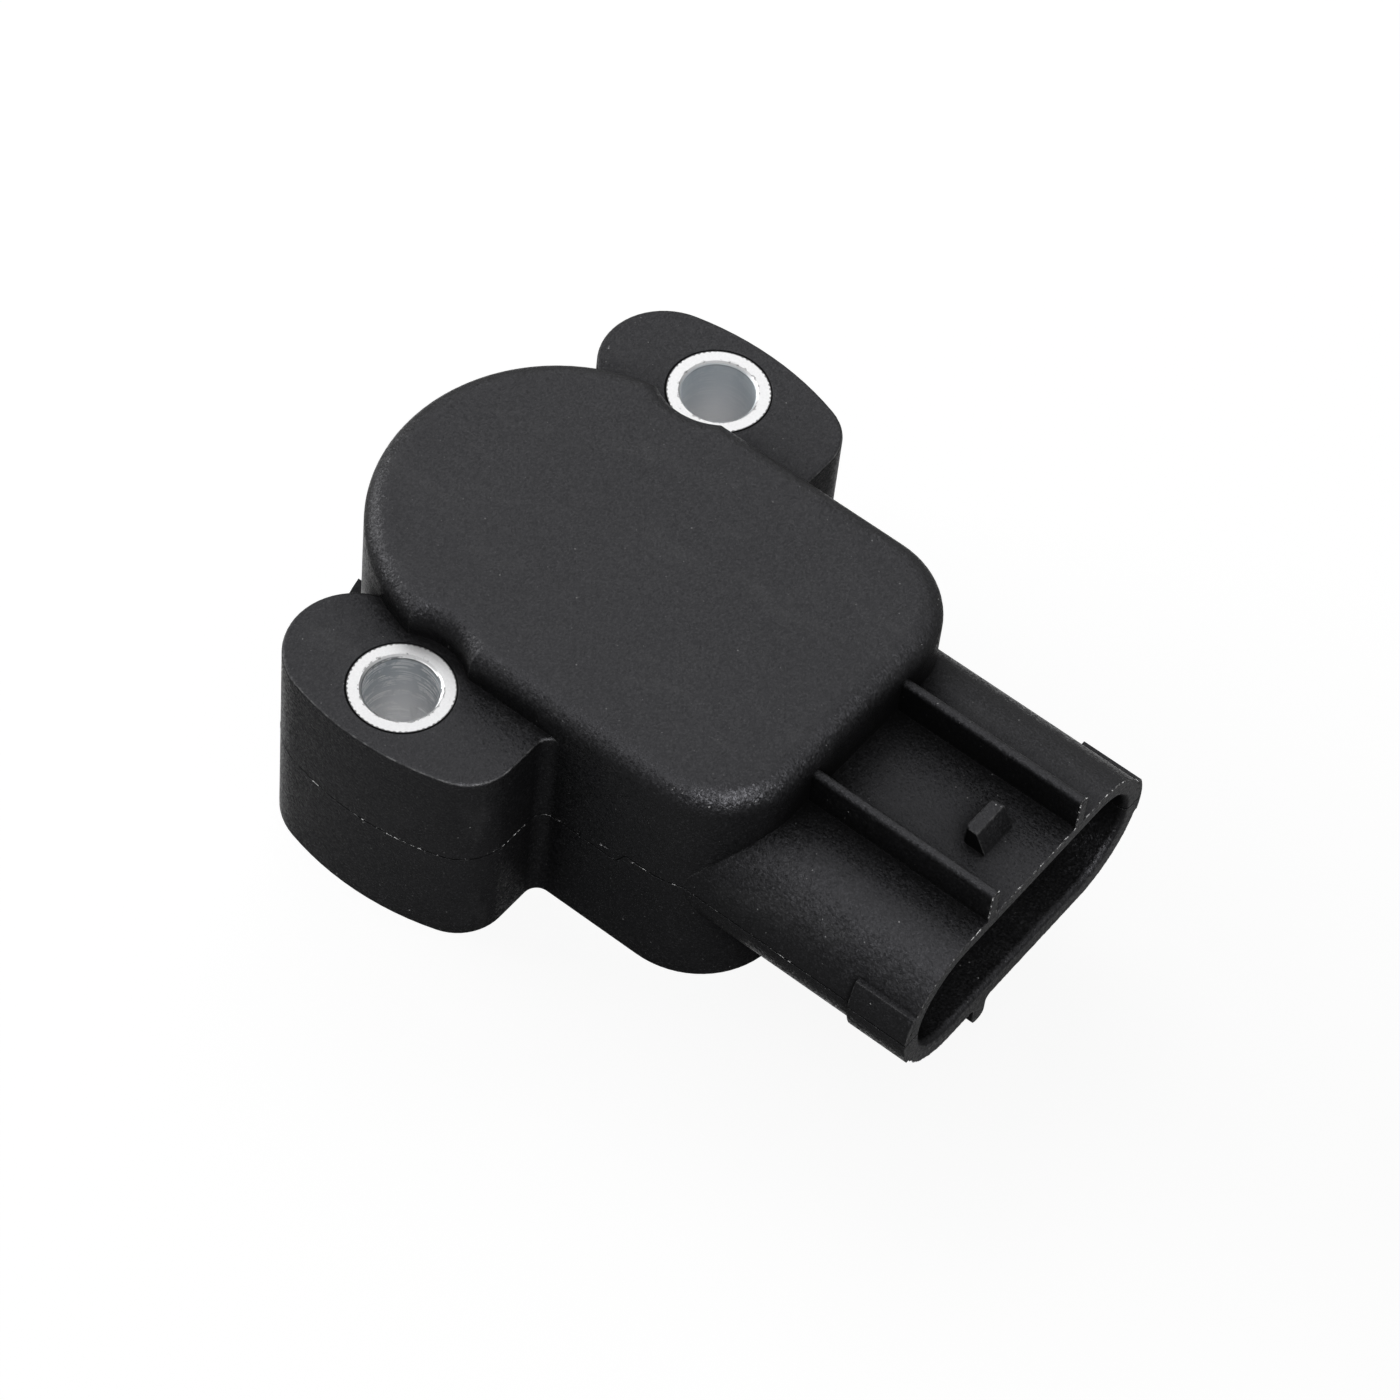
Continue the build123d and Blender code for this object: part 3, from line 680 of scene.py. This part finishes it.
def rubber(name, colour):
    """Moulded rubber with a talc bloom."""
    material, inputs, place = finish(name, specular=0.35)
    bloom = noise(place, 1.4, 4.0, 0.6).rise(0.48, 0.75)
    skin = noise(place, 7.0, 2.0)
    tint = (bloom * 0.30).mix(rgba(colour), grey(0.10))
    feed(inputs, tint, 0.62 + 0.2 * bloom, skin, 0.008 * MM)
    return material


def acetal(name, colour):
    """Natural acetal: pale, slightly waxy, with turning marks about the rotor's axis and grease."""
    material, inputs, place = finish(name, specular=0.5, coat=0.08)
    x, y, z = axes(place)
    radius = (x * x + y * y) ** 0.5
    marks = noise(place.node("CombineXYZ", None, {0: radius, 1: z * 0.5, 2: 0.0}), 3.0, 3.0, 0.6)
    grease = noise(place, 0.45, 3.0).rise(0.55, 0.75)
    tint = noise(place, 0.2, 2.0).mix(shade(colour, 0.92), rgba(colour))
    tint = (grease * 0.25).mix(tint, shade(colour, 0.45))
    feed(inputs, tint, 0.46 - 0.18 * grease + 0.08 * marks, marks, 0.01 * MM)
    return material


def printed(name, colour, metallic, roughness):
    """Board or screen-printed ink: a fine mesh mark and a soft mottle."""
    material, inputs, place = finish(name, metallic=metallic)
    mesh = place.node("TexWave", None, {"Vector": place, "Scale": 5.0, "Distortion": 0.4}, output=1)
    mottle = noise(place, 3.0, 3.0)
    tint = mottle.mix(shade(colour, 0.75), rgba(colour))
    feed(inputs, tint, roughness + 0.15 * mottle, mesh + mottle, 0.006 * MM)
    return material


def arc(centre, radius, start, end, count):
    """Points on a circle: centre plus radius times (cos, sin) of angles from start to end degrees."""
    angle = np.radians(np.linspace(start, end, count))
    return np.stack([centre[0] + radius * np.cos(angle), centre[1] + radius * np.sin(angle)], 1)


def along(points, places):
    """Points on a polyline at the given lengths from its start, by linear interpolation, and its length."""
    steps = np.linalg.norm(np.diff(points, axis=0), axis=1)
    reach = np.concatenate([[0.0], np.cumsum(steps)])
    return np.stack([np.interp(places, reach, points[:, n]) for n in range(points.shape[1])], -1), reach[-1]


def unit(vectors):
    """Vectors made one unit long: each divided by its length."""
    return vectors / np.maximum(np.linalg.norm(vectors, axis=-1, keepdims=True), 1e-12)


def slivers(path, out, count, height, seed, longest):
    """Tapered slivers of plastic lying along an edge.

    Sliver k runs along the path from a random place over a random length. With t from 0 to 1 along it
    and f round it, a point is path(t) + r(t) * (flat * cos f * side + sin f * out), where
    r(t) = size * sqrt(1 - (2t - 1)^2) * wobble, so that both ends close in a point.
    """
    random = np.random.default_rng(seed)
    sides, rings, flat, step = 7, 9, 0.55, 0.01 * MM
    total = along(path, np.zeros(1))[1]
    start = random.uniform(0.0, total, count)
    length = longest * random.uniform(0.15, 1.0, count) ** 2
    size = height * random.uniform(0.25, 1.0, count) ** 1.5
    t = np.linspace(0.0, 1.0, rings)
    f = np.linspace(0.0, 2 * np.pi, sides, endpoint=False)
    places = np.clip(start[:, None] + length[:, None] * t, 0.0, total)
    points = along(path, places)[0]
    outward = along(np.concatenate([path, out], 1), places)[0][..., 3:]
    ahead = unit(along(path, np.clip(places + step, 0.0, total))[0] - along(path, places - step)[0])
    outward = unit(outward - (outward * ahead).sum(-1, keepdims=True) * ahead)
    side = np.cross(ahead, outward)
    wobble = random.uniform(0.6, 1.0, (count, rings))
    radius = size[:, None] * np.sqrt(np.maximum(1 - (2 * t - 1) ** 2, 0.0)) * wobble
    ring = flat * np.cos(f)[:, None] * side[:, :, None, :] + np.sin(f)[:, None] * outward[:, :, None, :]
    grid = points[:, :, None, :] + radius[:, :, None, None] * ring
    index = np.arange(count * rings * sides).reshape(count, rings, sides)
    after = np.roll(index, -1, axis=2)
    faces = np.stack([index[:, :-1], after[:, :-1], after[:, 1:], index[:, 1:]], -1).reshape(-1, 4)
    return grid.reshape(-1, 3), faces


def piece(name, vertices, faces, material):
    """A new mesh piece on the fixed body, kept in the sensor's box, with its faces pointing out."""
    mesh = bpy.data.meshes.new(name)
    mesh.from_pydata(np.clip(vertices, cad_low, cad_high), [], faces)
    work = bmesh.new()
    work.from_mesh(mesh)
    bmesh.ops.remove_doubles(work, verts=work.verts, dist=1e-8)
    bmesh.ops.dissolve_degenerate(work, edges=work.edges, dist=1e-9)
    bmesh.ops.recalc_face_normals(work, faces=work.faces)
    work.to_mesh(mesh)
    work.free()
    mesh.shade_smooth()
    mesh.materials.append(material)
    made = bpy.data.objects.new(name, mesh)
    bpy.context.scene.collection.objects.link(made)
    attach(made, "body")


def near_parting_path():
    """The parting line from the plug's pad round the near ear to the nose, in millimetres: x and y.

    Straight runs and arcs of the case's outline, one after the other.
    """
    return np.concatenate([
        [(FLASH_START, -PLUG_HALF), (PLUG_START, -PLUG_HALF)],
        arc(BODY_CORNER, BODY_CORNER_R, BODY_CORNER_TURN, -90.0, 9),
        [(WEB[0], -BODY_HALF)],
        arc(WEB, WEB_R, 90.0, 180.0, 9),
        arc(EAR_FRONT, EAR_FRONT_R, 0.0, EAR_FRONT_TURN, 12),
        arc(ROTOR_AXIS, EAR_R, EAR_FRONT_TURN, EAR_BACK_TURN, 30),
        arc(EAR_BACK, EAR_BACK_R, EAR_BACK_TURN, EAR_BACK_END, 30),
        arc(ROTOR_AXIS, BODY_HALF, NOSE_TURN, -180.0, 30),
    ])


def outward_of(path):
    """Level normals to the right of a path: its direction turned a quarter turn clockwise."""
    step = unit(np.gradient(path, axis=0))
    return np.stack([step[:, 1], -step[:, 0]], 1)


def mouth_outline():
    """The plug's mouth, in millimetres: y and z. Two half circles joined by straight runs."""
    flat = PLUG_HALF - PLUG_HALF_HEIGHT
    return np.concatenate([
        arc((flat, PLUG_MIDDLE), PLUG_HALF_HEIGHT, 90.0, -90.0, 40),
        arc((-flat, PLUG_MIDDLE), PLUG_HALF_HEIGHT, 270.0, 90.0, 40),
        [(flat, PLUG_MIDDLE + PLUG_HALF_HEIGHT)],
    ])


def rib_outline(y):
    """The end of the guide rib at y, in millimetres: y and z. Up one side, over the round top and down."""
    return np.concatenate([
        [(y - RIB_HALF, RIB_FOOT)],
        arc((y, RIB_ROUND), RIB_HALF, 180.0, 0.0, 9),
        [(y + RIB_HALF, RIB_FOOT)],
    ])


class SENSOR_OT_case(bpy.types.Operator):
    """Give the case and the cover their moulded plastic"""

    bl_idname = "sensor.case"
    bl_label = "Case and cover"

    def execute(self, context):
        case = context.scene.sensor_case
        dress(["housing"], moulded("case_plastic", case.colour, case, True))
        dress(["rear_cover"], moulded("cover_plastic", context.scene.sensor_inner.cover, case, False))
        return {"FINISHED"}


class SENSOR_OT_flash(bpy.types.Operator):
    """Lay slivers of flash along the parting line, on both sides of the case"""

    bl_idname = "sensor.flash"
    bl_label = "Parting flash"

    def execute(self, context):
        case = context.scene.sensor_case
        flat = near_parting_path()
        level = np.interp(
            flat[:, 0], [case.jog / MM - JOG_HALF, case.jog / MM + JOG_HALF],
            [case.parting_level / MM, case.plug_parting_level / MM],
        )
        near = np.column_stack([flat, level]) * MM
        away = np.column_stack([outward_of(flat), np.zeros(len(flat))])
        material = torn("flash_plastic", case.colour, case)
        for name, side, seed in (("near_flash", 1.0, 4), ("far_flash", -1.0, 9)):
            turn = np.array([1.0, side, 1.0])
            vertices, faces = slivers(
                near * turn, away * turn, case.flash_count, case.flash_height, seed, FLASH_LONGEST
            )
            piece(name, vertices, faces, material)
        return {"FINISHED"}


class SENSOR_OT_burr(bpy.types.Operator):
    """Leave a thin broken burr round the plug's mouth and on the ends of its guide ribs"""

    bl_idname = "sensor.burr"
    bl_label = "Mouth burr"

    def execute(self, context):
        case = context.scene.sensor_case
        rib_count = case.burr_count // 6
        material = torn("burr_plastic", case.colour, case)
        for name, loop, centre, count, seed in (
            ("mouth_burr", mouth_outline(), (0.0, PLUG_MIDDLE), case.burr_count, 21),
            ("near_rib_burr", rib_outline(-RIB_Y), (-RIB_Y, RIB_MIDDLE), rib_count, 22),
            ("far_rib_burr", rib_outline(RIB_Y), (RIB_Y, RIB_MIDDLE), rib_count, 23),
        ):
            path = np.column_stack([np.full(len(loop), MOUTH_X - BURR_INSET), loop]) * MM
            away = (loop - np.array(centre)) * np.array(BURR_AWAY)
            out = np.column_stack([np.full(len(loop), BURR_AHEAD), away])
            vertices, faces = slivers(path, out, count, case.burr_height, seed, BURR_LONGEST)
            piece(name, vertices, faces, material)
        return {"FINISHED"}


class SENSOR_OT_bushes(bpy.types.Operator):
    """Give the screw bushes their turned metal"""

    bl_idname = "sensor.bushes"
    bl_label = "Bushes"

    def execute(self, context):
        dress(["near_bush", "far_bush"], bush_metal(context.scene.sensor_metal.bush))
        return {"FINISHED"}


class SENSOR_OT_terminals(bpy.types.Operator):
    """Give the terminal blades, their contact springs and the wiper their metal"""

    bl_idname = "sensor.terminals"
    bl_label = "Terminals and contacts"

    def execute(self, context):
        metal = context.scene.sensor_metal
        tinned = drawn_metal("terminal_metal", metal.blade, 0.26, (0.2, 4.0, 4.0))
        sprung = drawn_metal("contact_metal", metal.sprung, 0.24, (0.3, 3.0, 0.3))
        dress([f"{name}_terminal" for name in CIRCUITS], tinned)
        dress([f"{name}_contact" for name in CIRCUITS] + ["wiper"], sprung)
        return {"FINISHED"}


class SENSOR_OT_rotor(bpy.types.Operator):
    """Give the rotor, its spring, its sleeve and its washer their materials"""

    bl_idname = "sensor.rotor"
    bl_label = "Rotor and bearing"

    def execute(self, context):
        metal = context.scene.sensor_metal
        dress(["rotor"], acetal("rotor_plastic", context.scene.sensor_inner.rotor))
        dress(["return_spring"], drawn_metal("spring_steel", metal.wire, 0.28, (1.0, 1.0, 4.0)))
        dress(["bearing_sleeve", "thrust_washer"], porous_metal("bearing_bronze", metal.bronze))
        return {"FINISHED"}


class SENSOR_OT_board(bpy.types.Operator):
    """Give the resistor board and its print their materials"""

    bl_idname = "sensor.board"
    bl_label = "Board and print"

    def execute(self, context):
        inner = context.scene.sensor_inner
        dress(["resistor_board"], printed("board_laminate", inner.laminate, 0.0, 0.45))
        dress(["resistor_track"], printed("carbon_print", inner.carbon, 0.0, 0.55))
        silver = printed("silver_print", inner.silver, 0.9, 0.40)
        dress([f"{name}_trace" for name in CIRCUITS], silver)
        return {"FINISHED"}


class SENSOR_OT_seals(bpy.types.Operator):
    """Give the seals and the gasket their rubber"""

    bl_idname = "sensor.seals"
    bl_label = "Seals"

    def execute(self, context):
        colour = context.scene.sensor_inner.rubber
        for node, name in (
            ("shaft_seal", "seal_rubber"),
            ("cover_seal", "gasket_rubber"),
            ("mounting_seal", "ring_rubber"),
        ):
            dress([node], rubber(name, colour))
        return {"FINISHED"}


class SENSOR_OT_stage(bpy.types.Operator):
    """Set up the camera, the lamps, the white surround and the floor"""

    bl_idname = "sensor.stage"
    bl_label = "Studio"

    def put(self, scene, name, data, right, up, back, place):
        """A new camera or lamp at a place, with its sides turned to right, up and back."""
        made = bpy.data.objects.new(name, data)
        made.matrix_world = Matrix(np.block([
            [np.stack([right, up, back], 1), np.array(place)[:, None]], [np.zeros((1, 3)), np.ones((1, 1))],
        ]).tolist())
        scene.collection.objects.link(made)
        return made

    def camera(self, scene, studio):
        """A camera turned by azimuth, elevation and roll, set back and moved aside from the sensor."""
        turn, lift, lean = studio.azimuth, studio.elevation, studio.roll
        back = np.array([np.sin(turn) * np.cos(lift), -np.cos(turn) * np.cos(lift), np.sin(lift)])
        right = np.array([np.cos(turn), np.sin(turn), 0.0])
        up = np.cross(back, right)
        right, up = np.cos(lean) * right + np.sin(lean) * up, np.cos(lean) * up - np.sin(lean) * right
        place = studio.distance * back - studio.aside * right - studio.above * up
        data = bpy.data.cameras.new("camera")
        data.lens = studio.focal
        data.sensor_width = FILM_WIDTH
        data.clip_start, data.clip_end = 0.01, 20.0
        scene.camera = self.put(scene, "camera", data, right, up, back, place)

    def lamp(self, scene, name, place, size, power, lit, shading):
        """A soft lamp that faces the sensor. Where given, only lit is lit and only shading casts shade."""
        data = bpy.data.lights.new(name, "AREA")
        data.shape = "RECTANGLE"
        data.size, data.size_y = size
        data.energy = power
        back = unit(np.array(place))
        right = unit(np.cross([0.0, 0.0, 1.0], back))
        made = self.put(scene, name, data, right, np.cross(back, right), back, place)
        made.light_linking.receiver_collection = lit
        made.light_linking.blocker_collection = shading

    def lamps(self, scene):
        """All lamps. One that lights only some pieces is shaded by the sensor alone, not by the floor."""
        groups = {name: bpy.data.collections.new(name) for name in ("case_pieces", "under_pieces")}
        sensor = bpy.data.collections.new("sensor_pieces")
        for made in scene.objects:
            if made.type == "MESH":
                sensor.objects.link(made)
                groups["case_pieces" if made.name in CASE_PIECES else "under_pieces"].objects.link(made)
        for name, place, size, power, lit in LAMPS:
            self.lamp(scene, name, place, size, power, groups.get(lit), sensor if lit else None)

    def shown_white(self, tree):
        """1 where the camera, a reflection or a clear piece looks straight at the surround."""
        path = Field(tree)
        seen = path.node("LightPath", output="Is Camera Ray")
        mirrored = path.node("LightPath", output="Is Glossy Ray")
        through = path.node("LightPath", output="Is Transmission Ray")
        return seen.most(mirrored).most(through)

    def surround(self, scene):
        """A world that is white to the camera, darker at the horizon in reflections, and a dim light."""
        world = bpy.data.worlds.new("surround")
        world.use_nodes = True
        world.node_tree.nodes.clear()
        scene.world = world
        direction = Field(world.node_tree).node("TexCoord", output="Generated")
        dome = SURROUND_LOW + (1.0 - SURROUND_LOW) * axes(direction)[2].rise(-0.1, 0.6)
        mirrored = direction.node("LightPath", output="Is Glossy Ray")
        strength = self.shown_white(world.node_tree) * (1.0 - SURROUND_LIGHT) + SURROUND_LIGHT
        strength = strength * (1.0 - mirrored * (1.0 - dome))
        sky = strength.node("Background", None, {"Color": grey(1.0), "Strength": strength})
        sky.node("OutputWorld", None, {"Surface": sky})

    def floor_material(self, studio):
        """Paper that looks white and keeps a share of the shadow, and that is clear from below."""
        material = bpy.data.materials.new("floor_white")
        material.use_nodes = True
        material.node_tree.nodes.clear()
        white = self.shown_white(material.node_tree)
        seen = white.node("LightPath", output="Is Camera Ray")
        below = white.node("NewGeometry", output="Backfacing")
        paper = white.node("BsdfDiffuse", None, {"Color": grey(FLOOR_PAPER)})
        bright = white.node("BsdfDiffuse", None, {"Color": grey(FLOOR_SHOWN)})
        clear = white.node("BsdfTransparent")
        glow = (1.0 - FLOOR_LIGHT * studio.shadow) / (1.0 - studio.shadow)
        shine = white.node("Emission", None, {"Color": grey(1.0), "Strength": glow})
        shown = white.node("MixShader", None, {0: seen * (1.0 - studio.shadow), 1: bright, 2: shine})
        above = white.node("MixShader", None, {0: white, 1: paper, 2: shown})
        whole = white.node("MixShader", None, {0: below, 1: above, 2: clear})
        whole.node("OutputMaterial", None, {"Surface": whole})
        return material

    def floor(self, scene, studio):
        """A flat square just below the sensor: (x, y) on a grid of its two corners."""
        corner = np.array([-0.5, 0.5]) * studio.floor_size
        x, y = np.meshgrid(corner, corner, indexing="ij")
        mesh = bpy.data.meshes.new("floor")
        mesh.from_pydata(np.stack([x, y, 0.0 * x - FLOOR_DROP], -1).reshape(-1, 3), [], [(0, 2, 3, 1)])
        mesh.materials.append(self.floor_material(studio))
        floor = bpy.data.objects.new("floor", mesh)
        scene.collection.objects.link(floor)

    def execute(self, context):
        scene = context.scene
        scene.view_settings.view_transform = "Standard"
        self.camera(scene, scene.sensor_studio)
        self.lamps(scene)
        self.surround(scene)
        self.floor(scene, scene.sensor_studio)
        return {"FINISHED"}


class SENSOR_PT_panel(bpy.types.Panel):
    """Lists the sensor's settings and the operators that make its pieces"""

    bl_label = "Throttle position sensor"
    bl_idname = "SENSOR_PT_panel"
    bl_space_type = "VIEW_3D"
    bl_region_type = "UI"
    bl_category = "Sensor"

    def draw(self, context):
        for name, (title, group) in GROUPS.items():
            box = self.layout.box()
            box.label(text=title)
            for setting in group.__annotations__:
                box.prop(getattr(context.scene, name), setting)
        for operator in OPERATORS:
            self.layout.operator(operator.bl_idname)


GROUPS = {
    "sensor_case": ("Case", CaseSettings),
    "sensor_metal": ("Metal", MetalSettings),
    "sensor_inner": ("Inside", InnerSettings),
    "sensor_studio": ("Studio", StudioSettings),
}
OPERATORS = (
    SENSOR_OT_case, SENSOR_OT_flash, SENSOR_OT_burr, SENSOR_OT_bushes, SENSOR_OT_terminals,
    SENSOR_OT_rotor, SENSOR_OT_board, SENSOR_OT_seals, SENSOR_OT_stage,
)


def register():
    """Register the settings, the operators and the panel."""
    for name, (_, group) in GROUPS.items():
        bpy.utils.register_class(group)
        setattr(bpy.types.Scene, name, bpy.props.PointerProperty(type=group))
    for operator in OPERATORS:
        bpy.utils.register_class(operator)
    bpy.utils.register_class(SENSOR_PT_panel)


def unregister():
    """Undo register, in reverse order."""
    bpy.utils.unregister_class(SENSOR_PT_panel)
    for operator in reversed(OPERATORS):
        bpy.utils.unregister_class(operator)
    for name, (_, group) in reversed(GROUPS.items()):
        delattr(bpy.types.Scene, name)
        bpy.utils.unregister_class(group)


def main():
    """Finish every piece in order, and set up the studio."""
    register()
    bpy.ops.sensor.case()
    bpy.ops.sensor.flash()
    bpy.ops.sensor.burr()
    bpy.ops.sensor.bushes()
    bpy.ops.sensor.terminals()
    bpy.ops.sensor.rotor()
    bpy.ops.sensor.board()
    bpy.ops.sensor.seals()
    bpy.ops.sensor.stage()


if __name__ == "__main__":
    main()
